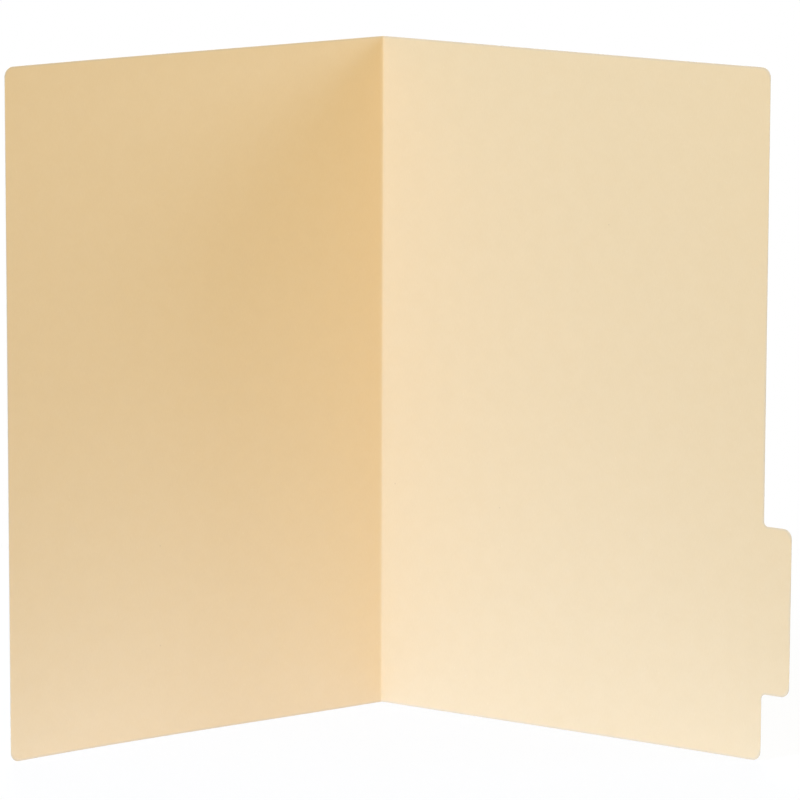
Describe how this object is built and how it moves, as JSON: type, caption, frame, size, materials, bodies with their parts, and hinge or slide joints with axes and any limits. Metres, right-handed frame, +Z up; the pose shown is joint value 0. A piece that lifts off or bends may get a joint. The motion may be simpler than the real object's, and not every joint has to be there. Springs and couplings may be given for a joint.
{
  "type": "file folder",
  "caption": "Buff manila card file folder standing open: a plain front leaf hinged along a creased fold to a back leaf with an index tab on its outer edge.",
  "frame": {"origin": "lower end of the fold line, in the plane of the lower edges that the folder stands on", "axes": "+Z up along the fold line, +X from the front leaf's side to the back leaf's side, -Y the side to which the folder opens"},
  "size_m": [0.3878, 0.138, 0.349],
  "materials": {
    "manila_card": "matte uncoated buff card with a fine fibre grain"
  },
  "bodies": {
    "back": {"back_leaf": "manila_card", "fold_crease": "manila_card"},
    "front": {"front_leaf": "manila_card"}
  },
  "joints": [
    {"name": "fold", "type": "hinge", "parent": "back", "child": "front", "pos_m": [0, 0, 0], "axis": [0, 0, 1], "range_deg": [-69, 111]}
  ]
}
